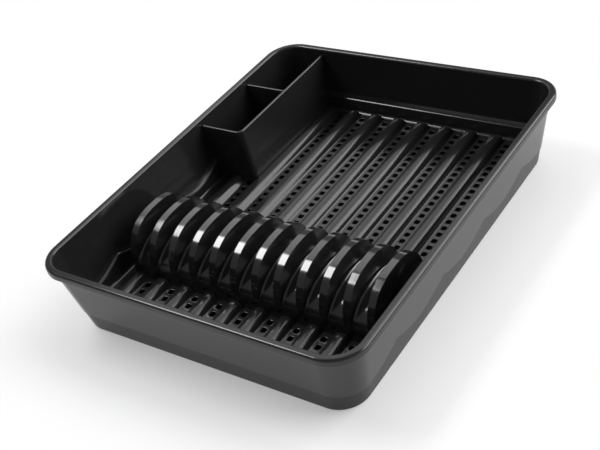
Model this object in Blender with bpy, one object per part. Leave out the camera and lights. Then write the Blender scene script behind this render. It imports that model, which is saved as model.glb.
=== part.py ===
"""Dish drying rack: a ribbed draining basin in a drip tray, with a lift-out plate rack and divider.

Metres, +Z up. The origin is the middle of the footprint, on the surface the rack stands on.
X runs across the short side, and Y runs from the front (plate rack) to the back (cutlery corner).
"""

import math

import bmesh
import bpy

# Driving dimensions
RIM_WIDTH_X = 0.380
RIM_LENGTH_Y = 0.470
HEIGHT = 0.087
RIM_CORNER_RADIUS = 0.036
RIM_FLANGE = 0.0084
LIP_DROP = 0.008
LIP_WALL = 0.0020
RIM_ROUND = 0.0013

# Tapering outside of the body, from the underside of the lip down to the table
LIP_OVERHANG_X = 0.0062
LIP_OVERHANG_Y = 0.0045
DRAFT_X = 0.0138
DRAFT_Y = 0.0125
BODY_TOP_RADIUS = 0.034
BODY_BOTTOM_RADIUS = 0.030
CORNER_STEPS = 7

# Wavy line where the basin steps inward and the tray's top edge runs
WAVE_PITCH = 0.093
WAVE_TROUGH_Z = 0.0205
WAVE_RISE = 0.0115
SHORT_SIDE_Z = 0.0245
WAVE_POINTS_PER_PITCH = 6

# Basin
BASIN_WALL = 0.0022
BASIN_STEP = 0.0030
LEDGE_RISE = 0.0020
FLOOR_TOP_Z = 0.0105
FLOOR_THICK = 0.0024
FLOOR_FILLET = 0.0020

# Drainage ribs and holes
RIB_PITCH = 0.03215
RIB_SIDE_MARGIN = 0.0010
RIB_TOP_WIDTH = 0.0095
RIB_BASE_WIDTH = 0.0208
RIB_HEIGHT = 0.0058
RIB_WALL_CLEARANCE = 0.0020
RIB_SKIN = 0.0022
HOLE_WIDTH = 0.0062
HOLE_LENGTH = 0.0064
HOLE_PITCH = 0.01127
HOLE_WALL_MARGIN = 0.0143

# Drip tray
TRAY_WALL = 0.0018
TRAY_INSET = 0.0008
TRAY_UNDERSIDE_Z = 0.0015
TRAY_FLOOR_THICK = 0.0020
TRAY_EDGE_ROUND = 0.0030
TRAY_FILLET = 0.0018
TRAY_EDGE_GAP = 0.0004
STANDOFF_LENGTH = 0.040
STANDOFF_WIDTH = 0.008

# Foot pads
PAD_RADIUS = 0.012
PAD_RECESS = 0.0006
PAD_FROM_SIDE = 0.038
PAD_SIDES = 28

# Plate rack
FIN_PITCH = 0.02685
FIN_WIDTH = 0.00785
RACK_SIDE_GAP = 0.0140
RACK_DEPTH = 0.0990
RACK_FROM_FRONT = 0.0748
RACK_HEIGHT = 0.0612
RACK_SPRING = 0.0122
RACK_ROUNDNESS = 2.5
RACK_WALL = 0.0022
RACK_PROFILE_STEPS = 24
SLOT_DEPTH = 0.0228
SLOT_ARCH = 0.0280
SLOT_STATIONS = 12
SLOT_FILLET = 0.0030
FILLET_STEPS = 3

# Cutlery divider, an L-shaped wall with a cross partition in the back left corner
DIVIDER_BELOW_RIM = 0.0065
DIVIDER_WALL = 0.0030
DIVIDER_WIDTH = 0.0430
DIVIDER_LEAN = 0.0058
DIVIDER_LENGTH = 0.1700
PARTITION_FROM_END = 0.0930

# Clearances
SEAT = 0.0003
SLIDE_FIT = 0.0004

# Heights that follow from the sizes above
BODY_TOP_Z = HEIGHT - LIP_DROP
FLOOR_UNDER_Z = FLOOR_TOP_Z - FLOOR_THICK
TRAY_FLOOR_TOP_Z = TRAY_UNDERSIDE_Z + TRAY_FLOOR_THICK
INSERT_SEAT_Z = FLOOR_TOP_Z + SEAT
DIVIDER_TOP_Z = HEIGHT - DIVIDER_BELOW_RIM

# How far a cutting shape runs past what it cuts
CUT = 0.010

# Edges sharper than this stay crisp where a piece is shaded round
SHARP_ANGLE_DEGREES = 35

# Middle point of a rounded edge, as a share of its radius from either side
ROUND_MIDDLE = 0.3


def clear_scene():
    for existing in list(bpy.data.objects):
        bpy.data.objects.remove(existing, do_unlink=True)


def plastic(name, colour, roughness):
    material = bpy.data.materials.new(name)
    material.use_nodes = True
    shader = material.node_tree.nodes["Principled BSDF"]
    shader.inputs["Base Color"].default_value = (*colour, 1.0)
    shader.inputs["Roughness"].default_value = roughness
    shader.inputs["Metallic"].default_value = 0.0
    return material


def add_object(name, mesh, material=None):
    made = bpy.data.objects.new(name, mesh)
    bpy.context.scene.collection.objects.link(made)
    if material is not None:
        mesh.materials.append(material)
    return made


def mesh_from(name, build):
    """Runs build(bm) on a new bmesh and returns the mesh with its faces turned outward."""
    bm = bmesh.new()
    build(bm)
    bmesh.ops.recalc_face_normals(bm, faces=bm.faces[:])
    mesh = bpy.data.meshes.new(name)
    bm.to_mesh(mesh)
    bm.free()
    return mesh


def cutter(name, mesh):
    made = add_object(name, mesh)
    made.hide_render = True
    made.display_type = "WIRE"
    return made


def boolean(target, other, operation):
    modifier = target.modifiers.new(f"{operation.lower()}_{other.name}", "BOOLEAN")
    modifier.operation = operation
    modifier.solver = "EXACT"
    modifier.object = other


def shade_round(made):
    made.data.shade_smooth()
    made.data.set_sharp_from_angle(angle=math.radians(SHARP_ANGLE_DEGREES))


# ---- outlines -------------------------------------------------------------------------------


def body_half_sizes(z):
    """Half width, half length and corner radius of the tapering body at height z."""
    below = (BODY_TOP_Z - z) / BODY_TOP_Z
    half_x = RIM_WIDTH_X / 2 - LIP_OVERHANG_X - DRAFT_X * below
    half_y = RIM_LENGTH_Y / 2 - LIP_OVERHANG_Y - DRAFT_Y * below
    radius = BODY_TOP_RADIUS - (BODY_TOP_RADIUS - BODY_BOTTOM_RADIUS) * below
    return half_x, half_y, radius


def wave_height(y):
    """Rounded troughs and pointed peaks, repeating at WAVE_PITCH along the long sides."""
    return WAVE_TROUGH_Z + WAVE_RISE * (1 - abs(math.cos(math.pi * y / WAVE_PITCH)))


def long_side_stations():
    """Places along the straight part of a long side, which include every peak of the wave."""
    _, half_y, radius = body_half_sizes(0.0)
    peaks = int(2 * (half_y - radius) / WAVE_PITCH)
    last = peaks * WAVE_POINTS_PER_PITCH // 2
    step = WAVE_PITCH / WAVE_POINTS_PER_PITCH
    return [index * step for index in range(-last, last + 1)]


def outline(half_x, half_y, radius):
    """Rounded rectangle, anticlockwise from the right side's front end: (x, y, turn).

    The turn is 0 along the long sides and 1 on the short sides, and changes around the corners.
    """
    points = []
    for sign in (1, -1):
        points += [(sign * half_x, sign * y, 0.0) for y in long_side_stations()]
        for quarter in (0, 1):
            side = sign if quarter == 0 else -sign
            for step in range(CORNER_STEPS + 1):
                share = step / CORNER_STEPS
                angle = math.pi / 2 * (quarter + share)
                x = side * (half_x - radius) + sign * radius * math.cos(angle)
                y = sign * (half_y - radius) + sign * radius * math.sin(angle)
                points.append((x, y, abs(quarter - share)))
    return points


def level_loop(half_x, half_y, radius, z):
    return [(x, y, z) for x, y, _ in outline(half_x, half_y, radius)]


def body_loop(z, inset):
    half_x, half_y, radius = body_half_sizes(z)
    return level_loop(half_x - inset, half_y - inset, radius - inset, z)


def rim_loop(z, inset):
    return level_loop(
        RIM_WIDTH_X / 2 - inset, RIM_LENGTH_Y / 2 - inset, RIM_CORNER_RADIUS - inset, z
    )


def wave_loop(inset, lift):
    """A loop on the body's side, set in by inset, that follows the wavy line raised by lift."""
    last = long_side_stations()[-1]
    loop = []
    for index, (_, y, turn) in enumerate(outline(*body_half_sizes(SHORT_SIDE_Z))):
        along = max(-last, min(last, y))
        z = wave_height(along) * (1 - turn) + SHORT_SIDE_Z * turn + lift
        half_x, half_y, radius = body_half_sizes(z)
        on_side = outline(half_x - inset, half_y - inset, radius - inset)[index]
        loop.append((on_side[0], on_side[1], z))
    return loop


def loft(bm, loops):
    """Closed body through the loops in order, with flat caps on the first and the last."""
    rings = [[bm.verts.new(point) for point in loop] for loop in loops]
    for lower, upper in zip(rings, rings[1:]):
        count = len(lower)
        for index in range(count):
            after = (index + 1) % count
            bm.faces.new((lower[index], lower[after], upper[after], upper[index]))
    bm.faces.new(rings[0])
    bm.faces.new(rings[-1])


def prism(bm, outline_points, place, start, end):
    """Extrudes a closed outline of (a, b) pairs between two stations; place(a, b, s) -> (x, y, z)."""
    ends = [[bm.verts.new(place(a, b, s)) for a, b in outline_points] for s in (start, end)]
    count = len(outline_points)
    for index in range(count):
        after = (index + 1) % count
        bm.faces.new((ends[0][index], ends[0][after], ends[1][after], ends[1][index]))
    bm.faces.new(ends[0])
    bm.faces.new(ends[1])


def along_y(a, b, s):
    return (a, s, b)


def along_x(a, b, s):
    return (s, a, b)


def along_z(a, b, s):
    return (a, b, s)


def box(bm, low, high):
    rectangle = [(low[0], low[1]), (high[0], low[1]), (high[0], high[1]), (low[0], high[1])]
    prism(bm, rectangle, along_z, low[2], high[2])


# ---- places shared by pieces that fit together ----------------------------------------------


def floor_half_sizes():
    half_x, half_y, _ = body_half_sizes(FLOOR_TOP_Z)
    inset = BASIN_STEP + BASIN_WALL
    return half_x - inset, half_y - inset


def rib_end_y(centre):
    """How far back a rib runs: up to the wall, and less where its flank meets a round corner."""
    floor_x, floor_y = floor_half_sizes()
    radius = body_half_sizes(FLOOR_TOP_Z)[2] - BASIN_STEP - BASIN_WALL
    past_straight = max(0.0, abs(centre) + RIB_BASE_WIDTH / 2 + FLOOR_THICK - (floor_x - radius))
    reach = math.sqrt(max(0.0, (radius - RIB_WALL_CLEARANCE) ** 2 - past_straight ** 2))
    return floor_y - radius + reach


def rack_front_y():
    return RACK_FROM_FRONT - floor_half_sizes()[1]


def rack_back_y():
    return rack_front_y() + RACK_DEPTH


def rack_centre_y():
    return rack_front_y() + RACK_DEPTH / 2


def fin_count():
    room = 2 * (floor_half_sizes()[0] - RACK_SIDE_GAP)
    return int((room - FIN_WIDTH) / FIN_PITCH) + 1


def divider_outer_x():
    """Foot of the long wall's outer face."""
    return -floor_half_sizes()[0] + DIVIDER_WIDTH + 2 * DIVIDER_WALL


def divider_front_y():
    return floor_half_sizes()[1] - DIVIDER_LENGTH


def rib_centres():
    room = 2 * (floor_half_sizes()[0] - RIB_SIDE_MARGIN)
    count = int((room - RIB_BASE_WIDTH) / RIB_PITCH) + 1
    return [(index - (count - 1) / 2) * RIB_PITCH for index in range(count)]


# ---- rack basin -----------------------------------------------------------------------------


def basin_shell(bm):
    inner = BASIN_STEP + BASIN_WALL
    rim_under = HEIGHT - LIP_WALL
    loft(bm, [
        body_loop(FLOOR_TOP_Z, inner + FLOOR_FILLET),
        body_loop(FLOOR_TOP_Z + FLOOR_FILLET * ROUND_MIDDLE, inner + FLOOR_FILLET * ROUND_MIDDLE),
        body_loop(FLOOR_TOP_Z + FLOOR_FILLET, inner),
        wave_loop(inner, LEDGE_RISE),
        wave_loop(BASIN_WALL, LEDGE_RISE + BASIN_STEP * ROUND_MIDDLE),
        rim_loop(HEIGHT - RIM_ROUND, RIM_FLANGE),
        rim_loop(HEIGHT, RIM_FLANGE - RIM_ROUND),
        rim_loop(HEIGHT, RIM_ROUND),
        rim_loop(HEIGHT - RIM_ROUND, 0.0),
        rim_loop(HEIGHT - LIP_DROP, 0.0),
        rim_loop(HEIGHT - LIP_DROP, LIP_WALL),
        rim_loop(rim_under, LIP_WALL),
        body_loop(rim_under, 0.0),
        wave_loop(0.0, 0.0),
        wave_loop(BASIN_STEP, 0.0),
        body_loop(FLOOR_UNDER_Z + FLOOR_FILLET, BASIN_STEP),
        body_loop(FLOOR_UNDER_Z, BASIN_STEP + FLOOR_FILLET),
    ])


def rib_spans():
    """(centre, start y, end y, whether the left flank is cut upright) for every stretch of rib."""
    foot = divider_outer_x() + SLIDE_FIT
    corner_y = divider_front_y() - SLIDE_FIT
    spans = []
    for centre in rib_centres():
        back_end = rib_end_y(centre)
        spans.append((centre, -back_end, rack_front_y() - SLIDE_FIT, False))
        start = rack_back_y() + SLIDE_FIT
        if centre + RIB_TOP_WIDTH / 2 < foot:
            spans.append((centre, start, corner_y, False))
        elif centre - RIB_BASE_WIDTH / 2 < foot:
            spans.append((centre, start, corner_y, False))
            spans.append((centre, corner_y, back_end, True))
        else:
            spans.append((centre, start, back_end, False))
    return spans


def rib_half_width(z):
    run = (RIB_BASE_WIDTH - RIB_TOP_WIDTH) / 2
    return RIB_BASE_WIDTH / 2 - run * (z - FLOOR_TOP_Z) / RIB_HEIGHT


def rib_outline(centre, low_z, high_z, side, left_limit):
    """Trapezium across a rib, thinned by side, whose left flank stops at left_limit."""
    left_low = max(centre - rib_half_width(low_z) + side, left_limit)
    left_high = max(centre - rib_half_width(high_z) + side, left_limit)
    right_low = centre + rib_half_width(low_z) - side
    right_high = centre + rib_half_width(high_z) - side
    return [(left_low, low_z), (right_low, low_z), (right_high, high_z), (left_high, high_z)]


def ribs(bm, upright_only):
    for centre, start, end, upright in rib_spans():
        if upright != upright_only:
            continue
        limit = divider_outer_x() + SLIDE_FIT if upright else -1.0
        root = FLOOR_TOP_Z - FLOOR_THICK / 2
        shape = rib_outline(centre, root, FLOOR_TOP_Z + RIB_HEIGHT, 0.0, limit)
        prism(bm, shape, along_y, start, end)


def rib_hollows(bm):
    flank = math.atan2(RIB_HEIGHT, (RIB_BASE_WIDTH - RIB_TOP_WIDTH) / 2)
    side = RIB_SKIN / math.sin(flank)
    for centre, start, end, upright in rib_spans():
        limit = divider_outer_x() + SLIDE_FIT + RIB_SKIN if upright else -1.0
        low = FLOOR_UNDER_Z - FLOOR_THICK / 2
        shape = rib_outline(centre, low, FLOOR_TOP_Z + RIB_HEIGHT - RIB_SKIN, side, limit)
        prism(bm, shape, along_y, start + RIB_SKIN, end - RIB_SKIN)


def hole_rows_y():
    """Rows from the back wall forward, leaving out those under the plate rack."""
    limit = floor_half_sizes()[1] - HOLE_WALL_MARGIN
    margin = HOLE_LENGTH / 2 + RACK_WALL
    rows = []
    y = limit
    while y >= -limit:
        if y > rack_back_y() + margin or y < rack_front_y() - margin:
            rows.append(y)
        y -= HOLE_PITCH
    return rows


def hole_columns_x():
    centres = rib_centres()
    return [(left + right) / 2 for left, right in zip(centres, centres[1:])]


def drain_holes(bm):
    for x in hole_columns_x():
        for y in hole_rows_y():
            low = (x - HOLE_WIDTH / 2, y - HOLE_LENGTH / 2, FLOOR_UNDER_Z - FLOOR_THICK)
            high = (x + HOLE_WIDTH / 2, y + HOLE_LENGTH / 2, FLOOR_TOP_Z + FLOOR_THICK)
            box(bm, low, high)


def make_basin(material):
    basin = add_object("rack_basin", mesh_from("rack_basin", basin_shell), material)
    for name, upright in (("basin_ribs", False), ("corner_rib", True)):
        shape = mesh_from(name, lambda bm: ribs(bm, upright))
        boolean(basin, cutter(name, shape), "UNION")
    boolean(basin, cutter("rib_hollows", mesh_from("rib_hollows", rib_hollows)), "DIFFERENCE")
    boolean(basin, cutter("drain_holes", mesh_from("drain_holes", drain_holes)), "DIFFERENCE")
    shade_round(basin)
    return basin


# ---- drip tray and foot pads ----------------------------------------------------------------


def tray_shell(bm):
    edge = TRAY_EDGE_ROUND
    inner = TRAY_INSET + TRAY_WALL
    loft(bm, [
        body_loop(TRAY_UNDERSIDE_Z, TRAY_INSET + edge),
        body_loop(TRAY_UNDERSIDE_Z + edge * ROUND_MIDDLE, TRAY_INSET + edge * ROUND_MIDDLE),
        body_loop(TRAY_UNDERSIDE_Z + edge, TRAY_INSET),
        wave_loop(TRAY_INSET, -TRAY_EDGE_GAP),
        wave_loop(inner, -TRAY_EDGE_GAP),
        body_loop(TRAY_FLOOR_TOP_Z + TRAY_FILLET, inner),
        body_loop(TRAY_FLOOR_TOP_Z, inner + TRAY_FILLET),
    ])


def pad_places():
    half_x, half_y, _ = body_half_sizes(TRAY_UNDERSIDE_Z)
    x = half_x - PAD_FROM_SIDE
    y = half_y - PAD_FROM_SIDE
    return {
        "foot_pad_front_left": (-x, -y),
        "foot_pad_front_right": (x, -y),
        "foot_pad_back_left": (-x, y),
        "foot_pad_back_right": (x, y),
    }


def standoffs(bm):
    """Four bars on the tray floor, over the foot pads, that carry the basin."""
    for x, y in pad_places().values():
        low = (x - STANDOFF_LENGTH / 2, y - STANDOFF_WIDTH / 2, TRAY_FLOOR_TOP_Z - TRAY_FLOOR_THICK / 2)
        high = (x + STANDOFF_LENGTH / 2, y + STANDOFF_WIDTH / 2, FLOOR_UNDER_Z - SEAT)
        box(bm, low, high)


def disc(bm, centre, radius, low_z, high_z):
    ring = []
    for index in range(PAD_SIDES):
        angle = 2 * math.pi * index / PAD_SIDES
        ring.append((centre[0] + radius * math.cos(angle), centre[1] + radius * math.sin(angle)))
    prism(bm, ring, along_z, low_z, high_z)


def pad_recesses(bm):
    for place in pad_places().values():
        disc(bm, place, PAD_RADIUS + SEAT, TRAY_UNDERSIDE_Z - CUT, TRAY_UNDERSIDE_Z + PAD_RECESS)


def make_tray(material):
    tray = add_object("drip_tray", mesh_from("drip_tray", tray_shell), material)
    boolean(tray, cutter("tray_standoffs", mesh_from("tray_standoffs", standoffs)), "UNION")
    boolean(tray, cutter("pad_recesses", mesh_from("pad_recesses", pad_recesses)), "DIFFERENCE")
    shade_round(tray)
    return tray


def make_pads(material):
    top = TRAY_UNDERSIDE_Z + PAD_RECESS - SEAT
    mesh = mesh_from("foot_pad", lambda bm: disc(bm, (0.0, 0.0), PAD_RADIUS, 0.0, top))
    mesh.materials.append(material)
    for name, (x, y) in pad_places().items():
        pad = add_object(name, mesh)
        pad.location = (x, y, 0.0)
        shade_round(pad)


# ---- plate rack -----------------------------------------------------------------------------


def rack_half_width():
    return ((fin_count() - 1) * FIN_PITCH + FIN_WIDTH) / 2


def loaf_outline(inset, bottom_z):
    """Side view of the plate rack: upright sides under a rounded, slightly flattened top."""
    middle = rack_centre_y()
    half = RACK_DEPTH / 2 - inset
    rise = RACK_HEIGHT - RACK_SPRING - inset
    spring_z = INSERT_SEAT_Z + RACK_SPRING
    points = [(middle + half, bottom_z)]
    for step in range(RACK_PROFILE_STEPS + 1):
        angle = math.pi * step / RACK_PROFILE_STEPS
        cosine = math.cos(angle)
        reach = abs(cosine) ** (2 / RACK_ROUNDNESS)
        lift = math.sin(angle) ** (2 / RACK_ROUNDNESS) if 0 < step < RACK_PROFILE_STEPS else 0.0
        points.append((middle + math.copysign(half * reach, cosine), spring_z + rise * lift))
    points.append((middle - half, bottom_z))
    return points


def slot_floor_z(y, grow):
    """The slots' floors are arched: half an ellipse from the front of the rack to its back."""
    reach = min(abs(y - rack_centre_y()) / (RACK_DEPTH / 2 - grow), 1)
    foot_z = INSERT_SEAT_Z + RACK_HEIGHT - SLOT_DEPTH - SLOT_ARCH
    return foot_z + (SLOT_ARCH - grow) * math.sqrt(1 - reach ** 2)


def slot_loop(centre, y, grow):
    """Cross-section of one plate slot at y, open at the top, with rounded bottom corners."""
    half = (FIN_PITCH - FIN_WIDTH) / 2 + grow
    floor_z = slot_floor_z(y, grow)
    fillet = SLOT_FILLET + grow
    right = [(half, INSERT_SEAT_Z + RACK_HEIGHT + CUT)]
    for step in range(FILLET_STEPS + 1):
        angle = math.pi / 2 * step / FILLET_STEPS
        x = half - fillet + fillet * math.cos(angle)
        right.append((x, floor_z + fillet - fillet * math.sin(angle)))
    left = [(-x, z) for x, z in reversed(right)]
    return [(centre + x, y, z) for x, z in right + left]


def slots(bm, grow):
    half = RACK_DEPTH / 2 - grow
    stations = [rack_front_y() - CUT]
    for step in range(SLOT_STATIONS + 1):
        stations.append(rack_centre_y() - half * math.cos(math.pi * step / SLOT_STATIONS))
    stations.append(rack_back_y() + CUT)
    for index in range(fin_count() - 1):
        centre = (index - (fin_count() - 2) / 2) * FIN_PITCH
        loft(bm, [slot_loop(centre, y, grow) for y in stations])


def rack_body(bm, inset, bottom_z):
    half = rack_half_width() - inset
    prism(bm, loaf_outline(inset, bottom_z), along_x, -half, half)


def make_plate_rack(material):
    body = mesh_from("plate_rack", lambda bm: rack_body(bm, 0.0, INSERT_SEAT_Z))
    rack = add_object("plate_rack", body, material)
    slot_tool = cutter("plate_slots", mesh_from("plate_slots", lambda bm: slots(bm, 0.0)))
    boolean(rack, slot_tool, "DIFFERENCE")
    hollow = mesh_from("rack_core", lambda bm: rack_body(bm, RACK_WALL, INSERT_SEAT_Z - CUT))
    core = cutter("rack_core", hollow)
    core_slots = cutter("core_slots", mesh_from("core_slots", lambda bm: slots(bm, RACK_WALL)))
    boolean(core, core_slots, "DIFFERENCE")
    boolean(rack, core, "DIFFERENCE")
    shade_round(rack)
    return rack


# ---- cutlery divider ------------------------------------------------------------------------


def interior(bm):
    """Space inside the basin's walls, less the clearance that the divider keeps to them."""
    inner = BASIN_STEP + BASIN_WALL + SLIDE_FIT
    loft(bm, [
        body_loop(FLOOR_TOP_Z - CUT, inner + FLOOR_FILLET),
        body_loop(INSERT_SEAT_Z, inner + FLOOR_FILLET),
        body_loop(INSERT_SEAT_Z + FLOOR_FILLET, inner),
        wave_loop(inner, LEDGE_RISE + SLIDE_FIT),
        wave_loop(BASIN_WALL + SLIDE_FIT, LEDGE_RISE + BASIN_STEP * ROUND_MIDDLE + SLIDE_FIT),
        rim_loop(HEIGHT - RIM_ROUND, RIM_FLANGE + SLIDE_FIT),
        rim_loop(HEIGHT + CUT, RIM_FLANGE + SLIDE_FIT),
    ])


def long_wall(bm):
    """Leans inward as it rises, from its foot against the trimmed rib."""
    foot_x = divider_outer_x()
    crown_x = foot_x - DIVIDER_LEAN
    shape = [
        (foot_x, INSERT_SEAT_Z), (crown_x, DIVIDER_TOP_Z),
        (crown_x - DIVIDER_WALL, DIVIDER_TOP_Z), (foot_x - DIVIDER_WALL, INSERT_SEAT_Z),
    ]
    prism(bm, shape, along_y, divider_front_y(), RIM_LENGTH_Y / 2)


def cross_wall(bm, front_y):
    """Runs from outside the left wall into the middle of the long wall's thickness."""
    foot_x = divider_outer_x() - DIVIDER_WALL / 2
    shape = [
        (-RIM_WIDTH_X / 2, INSERT_SEAT_Z), (foot_x, INSERT_SEAT_Z),
        (foot_x - DIVIDER_LEAN, DIVIDER_TOP_Z), (-RIM_WIDTH_X / 2, DIVIDER_TOP_Z),
    ]
    prism(bm, shape, along_y, front_y, front_y + DIVIDER_WALL)


def make_divider(material):
    divider = add_object("cutlery_divider", mesh_from("cutlery_divider", long_wall), material)
    end_y = divider_front_y()
    for name, front_y in (("end_wall", end_y), ("partition", end_y + PARTITION_FROM_END)):
        shape = mesh_from(name, lambda bm: cross_wall(bm, front_y))
        boolean(divider, cutter(name, shape), "UNION")
    boolean(divider, cutter("basin_interior", mesh_from("basin_interior", interior)), "INTERSECT")
    shade_round(divider)
    return divider


def main():
    clear_scene()
    black = plastic("black_plastic", (0.018, 0.018, 0.020), 0.28)
    tray_black = plastic("tray_plastic", (0.022, 0.022, 0.024), 0.36)
    rubber = plastic("pad_rubber", (0.030, 0.030, 0.030), 0.80)
    make_basin(black)
    make_tray(tray_black)
    make_pads(rubber)
    make_plate_rack(black)
    make_divider(black)


main()
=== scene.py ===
"""Dish drying rack in black moulded plastic: basin, drip tray, plate rack, cutlery divider and pads."""

import math

import bmesh
import bpy
import numpy as np
from mathutils import Matrix, Vector


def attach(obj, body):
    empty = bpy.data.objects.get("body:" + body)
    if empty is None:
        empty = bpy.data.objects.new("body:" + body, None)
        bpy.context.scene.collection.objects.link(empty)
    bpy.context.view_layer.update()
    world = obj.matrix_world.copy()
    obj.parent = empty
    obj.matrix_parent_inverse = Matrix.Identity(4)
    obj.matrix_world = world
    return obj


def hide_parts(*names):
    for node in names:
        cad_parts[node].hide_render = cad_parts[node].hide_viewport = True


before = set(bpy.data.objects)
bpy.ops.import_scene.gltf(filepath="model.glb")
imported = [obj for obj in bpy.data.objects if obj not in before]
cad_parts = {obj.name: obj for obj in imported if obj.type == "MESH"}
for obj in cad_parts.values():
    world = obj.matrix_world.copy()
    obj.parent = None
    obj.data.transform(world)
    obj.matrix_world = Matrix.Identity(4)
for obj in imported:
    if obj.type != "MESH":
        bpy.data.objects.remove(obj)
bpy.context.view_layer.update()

# ---- sizes, in metres, the same as the solid model's ---------------------------------------------

RIM_WIDTH_X = 0.380
RIM_LENGTH_Y = 0.470
HEIGHT = 0.087
RIM_CORNER_RADIUS = 0.036
RIM_FLANGE = 0.0084
LIP_DROP = 0.008
LIP_WALL = 0.0020
LIP_OVERHANG_X = 0.0062
LIP_OVERHANG_Y = 0.0045
DRAFT_X = 0.0138
DRAFT_Y = 0.0125
BODY_TOP_RADIUS = 0.034
BODY_BOTTOM_RADIUS = 0.030
BODY_TOP_Z = HEIGHT - LIP_DROP

WAVE_PITCH = 0.093
WAVE_TROUGH_Z = 0.0205
WAVE_RISE = 0.0115
SHORT_SIDE_Z = 0.0245

BASIN_WALL = 0.0022
BASIN_STEP = 0.0030
LEDGE_RISE = 0.0020
FLOOR_TOP_Z = 0.0105
FLOOR_THICK = 0.0024
FLOOR_UNDER_Z = FLOOR_TOP_Z - FLOOR_THICK

RIB_PITCH = 0.03215
RIB_COUNT = 10
RIB_TOP_WIDTH = 0.0125
RIB_BASE_WIDTH = 0.0196
RIB_HEIGHT = 0.0058
RIB_WALL_CLEARANCE = 0.0020
HOLE_WIDTH = 0.0062
HOLE_LENGTH = 0.0064
HOLE_PITCH = 0.01127
HOLE_WALL_MARGIN = 0.0143

TRAY_WALL = 0.0018
TRAY_INSET = 0.0008
TRAY_UNDERSIDE_Z = 0.0015
TRAY_FLOOR_TOP_Z = 0.0035
TRAY_EDGE_ROUND = 0.0010
TRAY_EDGE_GAP = 0.0004
STANDOFF_LENGTH = 0.040
STANDOFF_WIDTH = 0.008
PAD_FROM_EDGE = 0.038

FIN_COUNT = 12
FIN_PITCH = 0.02685
FIN_WIDTH = 0.00785
RACK_DEPTH = 0.0990
RACK_FROM_FRONT = 0.0748
RACK_HEIGHT = 0.0612
RACK_SPRING = 0.0122
RACK_ROUNDNESS = 2.5
RACK_WALL = 0.0022
SLOT_DEPTH = 0.0228
SLOT_ARCH = 0.0280

DIVIDER_TOP_Z = HEIGHT - 0.0065
DIVIDER_WALL = 0.0030
DIVIDER_WIDTH = 0.0430
DIVIDER_LEAN = 0.0058
DIVIDER_LENGTH = 0.1700
PARTITION_FROM_END = 0.0930

SEAT = 0.0003
SLIDE_FIT = 0.0004
INSERT_SEAT_Z = FLOOR_TOP_Z + SEAT
CUT = 0.010  # how far a cutting shape reaches past what it cuts

# ---- roundings that the moulded pieces have ------------------------------------------------------

CORNER_STEPS = 14
WAVE_STEPS = 24
ROUND_STEPS = 4
RIM_EDGE = 0.0030
RIM_INNER_EDGE = 0.0022
RIM_UNDER_FILLET = 0.0006
LIP_EDGE = 0.0008
LIP_INNER_EDGE = 0.0002
STEP_EDGE = 0.0006
STEP_FILLET = 0.0005
UNDERSIDE_EDGE = 0.0020
FOOT_FILLET = 0.0034
FOOT_START = math.radians(14)
FOOT_STEPS = 5
FOOT_SINK = 0.00003
FOOT_EASE = 0.3
LEDGE_CLEARANCE = 0.0024
RIB_FOOT_BLEND = 0.0007
RIB_EDGE_BLEND = 0.0018
RIB_CROWN = 0.0011
RIB_END_RADIUS = 0.0050
HOLE_CORNER = 0.0017
HOLE_EDGE = 0.0005
HOLE_EDGE_ANGLES = (0.75, math.pi / 2)
TRAY_LIP_EDGE = 0.0005
TRAY_FLOOR_FILLET = 0.0026
STANDOFF_EDGE = 0.0006
STANDOFF_SINK = 0.0010
PAD_PROFILE = ((0.0098, 0.0), (0.0112, 0.0002), (0.0118, 0.0007), (0.0120, 0.0012), (0.0118, 0.0018))
PAD_SIDES = 40
FIN_EDGE = 0.0021
SLOT_FILLET = 0.0032
SLOT_STEPS = 28
LOAF_STEPS = 56
DIVIDER_EDGE = 0.0013
DIVIDER_CORNER = 0.0080
DIVIDER_INNER_CORNER = 0.0050
DIVIDER_OVERRUN = 0.0050
JUNCTION_FILLET = 0.0018

# ---- how finely the ribbed floor is divided ------------------------------------------------------

# The floor is a sheet on a grid, which runs a little into the walls and is then clipped and joined.
FLOOR_SHEET_THICK = FLOOR_THICK - 0.0002
FLOOR_OVERRUN = 0.0016
FLOOR_CLIP_INSET = BASIN_STEP + 0.0011
FLOOR_CLIP_LEAN = 0.003
FLOOR_CLIP_LOW_Z = -0.01
FLOOR_CLIP_HIGH_Z = 0.03
STRIP_HALF = 0.0050
STRIP_SHARES = (-1.0, -0.5, 0.0, 0.5, 1.0)
RIB_OFFSETS = (0.0, 0.0024, 0.0044, 0.0051, 0.0058, 0.0065, 0.0072, 0.0080, 0.0091, 0.0098, 0.0105)
SIDE_INSETS = (0.004, 0.008)
FINE_STATION = 0.0009
FINE_END_ZONE = 0.026
ROW_PARTS = 4
END_ROW_PARTS = 8
LEAST_STATION = 0.00004
# An upright end of a rib rises over this little run.
UPRIGHT_RUN_X = 0.00005
UPRIGHT_RUN_Y = 0.00006
EDGE_SLACK = 1e-6
FAR = 1.0
HOLE_SEARCH_REACH = 0.02
HOLE_SEARCH_STEPS = 30

# ---- looks, studio and camera --------------------------------------------------------------------

SHARP_ANGLE = 34
PAD_SHARP_ANGLE = 40

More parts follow.
